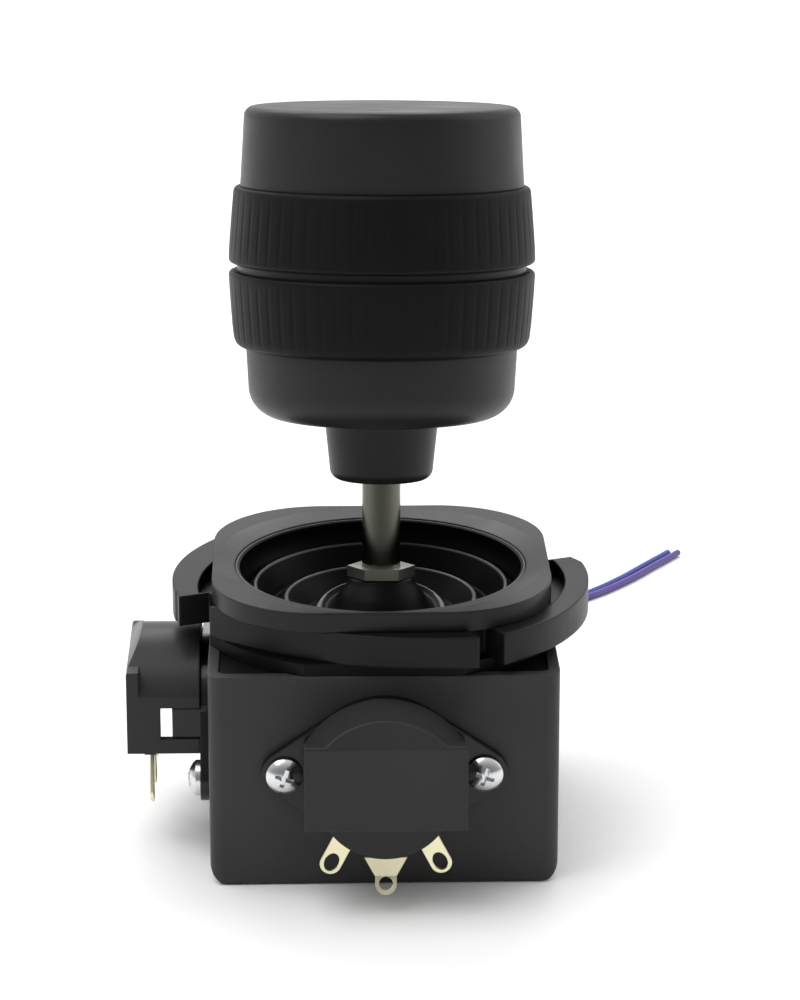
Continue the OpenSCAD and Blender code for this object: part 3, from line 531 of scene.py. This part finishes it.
def surface(name, color, roughness, metallic=0.0, vary=0.12, grain=900.0, bump=0.15,
            bump_size=0.00006, rough_vary=0.08, edge=0.0, edge_r=0.0004, scratches=0.0,
            stretch=None, specular=0.5):
    """A procedural surface: colour and roughness that vary, fine grain, and soft edges painted
    lighter, for wear and as a painted highlight.
    """
    material = bpy.data.materials.new(name)
    material.use_nodes = True
    shader = material.node_tree.nodes["Principled BSDF"]
    set_inputs(shader, {"Metallic": metallic, "Specular IOR Level": specular})
    coords = node_of(material, "ShaderNodeTexCoord")
    mapping = node_of(material, "ShaderNodeMapping")
    joined(material, coords, "Object", mapping, "Vector")
    if stretch:
        mapping.inputs["Scale"].default_value = stretch
    cloud = noise_of(material, coords, "Object", {"Scale": 70.0, "Detail": 6.0})
    fine = noise_of(material, mapping, "Vector", {"Scale": grain, "Detail": 4.0})

    # colour
    ramp = node_of(material, "ShaderNodeValToRGB")
    dark, light = ramp.color_ramp.elements
    dark.position, light.position = 0.35, 0.68
    dark.color = (*[c * (1 - vary) for c in color], 1)
    light.color = (*[min(1.0, c * (1 + vary)) for c in color], 1)
    joined(material, cloud, "Fac", ramp, "Fac")
    relief = node_of(material, "ShaderNodeBump")
    set_inputs(relief, {"Strength": bump, "Distance": bump_size})
    if edge > 0:
        # where the rounded normal turns away from the true one, the colour is lighter: wear, and a
        # painted highlight along the edge
        bevel = node_of(material, "ShaderNodeBevel", samples=6)
        bevel.inputs["Radius"].default_value = edge_r
        joined(material, bevel, "Normal", relief, "Normal")
        geometry = node_of(material, "ShaderNodeNewGeometry")
        dot = node_of(material, "ShaderNodeVectorMath", operation="DOT_PRODUCT")
        joined(material, bevel, "Normal", dot, 0)
        joined(material, geometry, "Normal", dot, 1)
        wear_and_highlight = range_of(material, dot, "Value", 0.985, 0.82, 0.0, edge)
        mix = node_of(material, "ShaderNodeMix", data_type="RGBA")
        mix.inputs["B"].default_value = (*[min(1.0, c * 2.4 + 0.015) for c in color], 1)
        joined(material, ramp, "Color", mix, "A")
        joined(material, wear_and_highlight, "Result", mix, "Factor")
        joined(material, mix, "Result", shader, "Base Color")
    else:
        joined(material, ramp, "Color", shader, "Base Color")

    # roughness
    span = range_of(material, cloud, "Fac", 0.3, 0.7, max(0.03, roughness - rough_vary),
                    min(1.0, roughness + rough_vary))
    joined(material, span, "Result", shader, "Roughness")

    # grain, with scratches on some plastics
    if scratches > 0:
        wave = noise_of(material, coords, "Object",
                        {"Scale": 140.0, "Detail": 8.0, "Distortion": 2.5})
        blend = node_of(material, "ShaderNodeMath", operation="MULTIPLY_ADD")
        blend.inputs[1].default_value = scratches
        joined(material, wave, "Fac", blend, 0)
        joined(material, fine, "Fac", blend, 2)
        joined(material, blend, "Value", relief, "Height")
    else:
        joined(material, fine, "Fac", relief, "Height")
    joined(material, relief, "Normal", shader, "Normal")
    return material


LOOKS = {
    "housing": surface("housing_plastic", (0.036, 0.0375, 0.0355), 0.42, edge=0.3, grain=2600,
                       bump=0.25, bump_size=0.00004, scratches=0.3, specular=0.2),
    "frame": surface("frame_plastic", (0.004, 0.004, 0.004), 0.5, grain=2200, bump=0.2,
                     specular=0.12),
    "ring": surface("ring_plastic", (0.006, 0.006, 0.0058), 0.38, edge=0.35, grain=2000, bump=0.2,
                    scratches=0.2, specular=0.2),
    "bezel": surface("bezel_rubber", (0.008, 0.008, 0.0076), 0.36, edge=0.3, grain=1800,
                     bump=0.15, specular=0.25),
    "boot": surface("boot_rubber", (0.0028, 0.0028, 0.0028), 0.4, grain=1500, bump=0.15,
                    rough_vary=0.05, specular=0.07),
    # a lighter rubber on the crests: a painted highlight along them
    "crest": surface("boot_crest_painted_highlight", (0.024, 0.024, 0.022), 0.36, grain=1500, bump=0.15,
                     specular=0.5),
    "grip": surface("grip_rubber", (0.0045, 0.0045, 0.0044), 0.48, grain=1700, bump=0.15,
                    specular=0.12),
    "knob": surface("knob_plastic", (0.017, 0.017, 0.0165), 0.4, edge=0.25, grain=2400, bump=0.2,
                    bump_size=0.00003, specular=0.22),
    "pot": surface("pot_plastic", (0.006, 0.006, 0.006), 0.18, edge=0.3, grain=1200, bump=0.1,
                   specular=0.35),
    "cover": surface("cover_plastic", (0.027, 0.028, 0.0265), 0.34, edge=0.35, grain=1500,
                     bump=0.1, edge_r=0.0003, specular=0.2),
    "brass": surface("lug_brass", (0.88, 0.84, 0.56), 0.34, metallic=1.0, vary=0.1, grain=700,
                     bump=0.12),
    "dull_brass": surface("dull_brass", (0.72, 0.68, 0.47), 0.4, metallic=1.0, vary=0.15,
                          grain=600, bump=0.2),
    "zinc": surface("screw_zinc", (0.66, 0.67, 0.68), 0.2, metallic=1.0, vary=0.12, grain=900,
                    bump=0.12),
    "shaft": surface("shaft_steel", (0.115, 0.115, 0.095), 0.2, metallic=1.0, vary=0.2, grain=500,
                     bump=0.12, stretch=(3, 3, 0.4)),
    "nut": surface("nut_steel", (0.72, 0.72, 0.64), 0.3, metallic=1.0, vary=0.15, grain=900,
                   bump=0.12),
    "steel": surface("bail_steel", (0.36, 0.37, 0.38), 0.34, metallic=1.0, vary=0.15, grain=800,
                     bump=0.2),
    "cast": surface("carriage_metal", (0.30, 0.31, 0.32), 0.5, metallic=1.0, vary=0.12,
                    grain=1500, bump=0.5),
    "spring": surface("spring_steel", (0.34, 0.35, 0.36), 0.3, metallic=1.0, vary=0.15,
                      grain=900),
    "bearing": surface("bearing_brass", (0.35, 0.26, 0.12), 0.35, metallic=1.0, vary=0.2,
                       grain=700),
    "fibre": surface("washer_fibre", (0.22, 0.13, 0.06), 0.75, vary=0.25, grain=900, bump=0.5),
    "blue": surface("lead_blue_pvc", (0.025, 0.06, 0.32), 0.35, vary=0.08, grain=900, bump=0.1),
    "violet": surface("lead_violet_pvc", (0.085, 0.045, 0.26), 0.35, vary=0.08, grain=900,
                      bump=0.1),
}

USES = {
    "housing": ["housing"],
    "frame": ["top_frame"],
    "ring": ["mounting_ring"],
    "bezel": ["boot_bezel"],
    "grip": [lower_grip.name, upper_grip.name],
    "knob": ["knob_cup", "knob_cap"],
    "boot": ["lead_grommet", *[piece.name for piece in boot_pieces]],
    "pot": ["front_pot_case", "side_pot_case", "twist_pot"],
    "cover": ["front_pot_cover", "side_pot_cover"],
    "brass": [piece.name for piece in front_lugs + side_lugs],
    "dull_brass": [middle_root.name, middle_end.name],
    "zinc": ["front_screw_1", "front_screw_2", "side_screw_1", "side_screw_2"],
    "shaft": ["stick_shaft", "twist_shaft"],
    "nut": ["boot_nut", "knob_nut", "twist_nut", "cross_pin"],
    "steel": ["arc_bail", "twist_plate"],
    "cast": ["carriage"],
    "spring": ["tilt_spring", "twist_spring"],
    "bearing": ["bush_left", "bush_right", "bush_front", "bush_rear", "side_wiper", "front_wiper"],
    "fibre": ["friction_washer"],
    "blue": [blue_lead.name],
    "violet": [violet_lead.name],
}
for look, names in USES.items():
    for name in names:
        materials = bpy.data.objects[name].data.materials
        materials.clear()
        materials.append(LOOKS[look])
# the crests of the folds and the lip of the boot's edge get the painted highlight
for piece, ring in zip(boot_pieces, [EDGE, RIDGE_1, RIDGE_1, RIDGE_2, RIDGE_2, RIDGE_3]):
    piece.data.materials.append(LOOKS["crest"])
    paint_crest_highlight(piece, ring)

# ---- floor and light ----

WHITE = (1, 1, 1, 1)
FLOOR_HALF = 3.0
# the direction, a little above the back, that the world is brightest in
BRIGHT_SIDE = (0.0, 0.8, 0.6)

floor_mesh = bpy.data.meshes.new("floor")
floor_mesh.from_pydata([(x * FLOOR_HALF, y * FLOOR_HALF, 0)
                        for x, y in ((-1, -1), (1, -1), (1, 1), (-1, 1))], [], [(0, 1, 2, 3)])
floor = bpy.data.objects.new("floor", floor_mesh)
bpy.context.collection.objects.link(floor)
floor_look = bpy.data.materials.new("floor")
floor_look.use_nodes = True
set_inputs(floor_look.node_tree.nodes["Principled BSDF"],
           {"Base Color": (0.93, 0.93, 0.93, 1), "Roughness": 0.6})
floor_mesh.materials.append(floor_look)


def area_light(name, at, target, size, power):
    data = bpy.data.lights.new(name, "AREA")
    data.shape = "RECTANGLE"
    data.size, data.size_y = size
    data.energy = power
    light = bpy.data.objects.new(name, data)
    bpy.context.collection.objects.link(light)
    light.location = at
    light.rotation_euler = aimed(at, target)


area_light("key", (-0.35, -0.1, 0.8), (0, 0, 0.04), (0.6, 0.6), 4.0)
area_light("fill", (0.7, 0.1, 0.4), (0, 0, 0.04), (0.5, 0.6), 1.0)
area_light("back", (-0.1, 0.7, 0.7), (0, 0, 0.05), (0.8, 0.4), 3.5)

# the world lights by direction, and is plain white to the camera
world = bpy.data.worlds.new("world")
bpy.context.scene.world = world
world.use_nodes = True
around = world.node_tree.nodes["Background"]
around.inputs["Color"].default_value = WHITE
direction = node_of(world, "ShaderNodeTexCoord")
towards = node_of(world, "ShaderNodeVectorMath", operation="DOT_PRODUCT")
towards.inputs[1].default_value = BRIGHT_SIDE
joined(world, direction, "Generated", towards, 0)
strength = range_of(world, towards, "Value", -0.5, 0.65, 0.26, 0.95,
                    interpolation_type="SMOOTHSTEP")
joined(world, strength, "Result", around, "Strength")
white = node_of(world, "ShaderNodeBackground")
white.inputs["Color"].default_value = WHITE
rays = node_of(world, "ShaderNodeLightPath")
choose = node_of(world, "ShaderNodeMixShader")
joined(world, rays, "Is Camera Ray", choose, "Fac")
joined(world, around, "Background", choose, 1)
joined(world, white, "Background", choose, 2)
joined(world, choose, "Shader", world.node_tree.nodes["World Output"], "Surface")
bpy.context.scene.view_settings.view_transform = "Standard"
